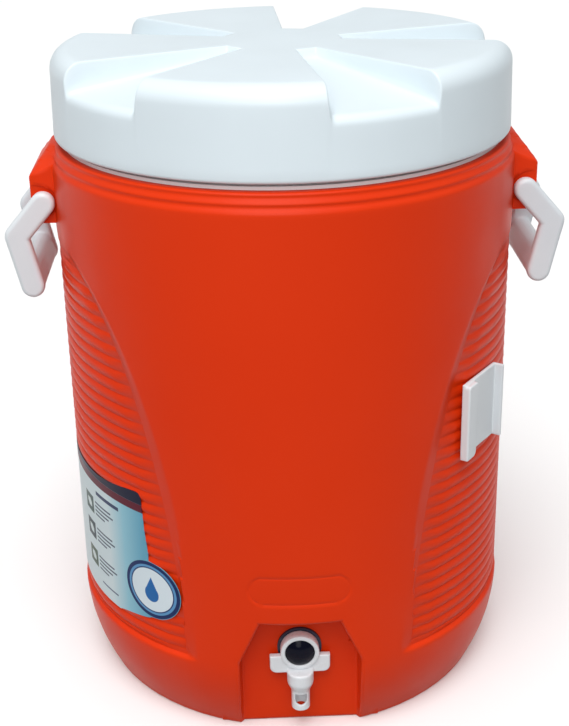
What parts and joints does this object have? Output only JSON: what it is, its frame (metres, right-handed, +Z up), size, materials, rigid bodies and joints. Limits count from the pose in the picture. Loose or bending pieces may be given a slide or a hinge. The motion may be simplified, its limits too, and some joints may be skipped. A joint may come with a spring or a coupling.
{
  "type": "insulated drink jug",
  "caption": "Large round insulated drink jug with a ribbed body, screw-on lid, a swinging bail handle on each side and a push-button spigot in a recess at the base.",
  "frame": {"origin": "on the resting plane at the foot, on the vertical axis of the body", "axes": "+Z up along the body's axis; -Y is the front, where the spigot is; the two handles are at +X and -X"},
  "size_m": [0.3864, 0.322, 0.46],
  "materials": {
    "orange_plastic": "rotationally even polyethylene, satin with a fine moulded grain",
    "handle_plastic": "moulded polypropylene, semi-gloss white",
    "white_plastic": "moulded polyethylene, satin white",
    "liner_plastic": "smooth food-grade polyethylene",
    "rigid_foam": "foamed-in-place rigid insulation, never seen",
    "gasket_rubber": "soft pale seal",
    "seal_rubber": "soft dark seal",
    "spigot_plastic": "moulded polypropylene, semi-gloss white",
    "button_plastic": "moulded dark blue button, semi-gloss",
    "spring_steel": "drawn stainless wire",
    "bracket_plastic": "moulded polyethylene, satin white",
    "label_film": null
  },
  "bodies": {
    "jug": {"outer_shell": "orange_plastic", "foam_fill": "rigid_foam", "inner_liner": "liner_plastic", "foam_plugs": "white_plastic", "spigot_body": "spigot_plastic", "spigot_retaining_ring": "spigot_plastic", "spigot_spring": "spring_steel", "spigot_outer_gasket": "seal_rubber", "spigot_inner_gasket": "gasket_rubber", "spigot_nut": "spigot_plastic", "cup_bracket": "bracket_plastic", "label": "label_film"},
    "seal": {"lid_gasket": "gasket_rubber"},
    "lid": {"lid_cover": "white_plastic", "lid_foam": "rigid_foam", "lid_inner_panel": "liner_plastic"},
    "left_handle": {"handle_left": "handle_plastic"},
    "right_handle": {"handle_right": "handle_plastic"},
    "button": {"spigot_button": "button_plastic", "spigot_stem": "spigot_plastic", "spigot_valve_seal": "seal_rubber"}
  },
  "joints": [
    {"name": "lid_rise", "type": "slide", "parent": "jug", "child": "seal", "axis": [0, 0, 1], "range_m": [0, 0.0376]},
    {"name": "lid_turn", "type": "hinge", "parent": "seal", "child": "lid", "pos_m": [0, 0, 0.43], "axis": [0, 0, 1], "range_deg": [0, 450]},
    {"name": "right_handle_swing", "type": "hinge", "parent": "jug", "child": "right_handle", "pos_m": [0.165, 0, 0.3605], "axis": [0, -1, 0], "range_deg": [0, 125]},
    {"name": "left_handle_swing", "type": "hinge", "parent": "jug", "child": "left_handle", "pos_m": [-0.165, 0, 0.3605], "axis": [0, 1, 0], "range_deg": [0, 125]},
    {"name": "button_push", "type": "slide", "parent": "jug", "child": "button", "axis": [0, 1, 0], "range_m": [0, 0.003], "stiffness_N_per_m": 400, "springref_m": -0.004, "deforming": ["spigot_spring"]}
  ],
  "couplings": [
    {"joint": "lid_rise", "follows": "lid_turn", "m_per_rad": 0.0047746}
  ]
}
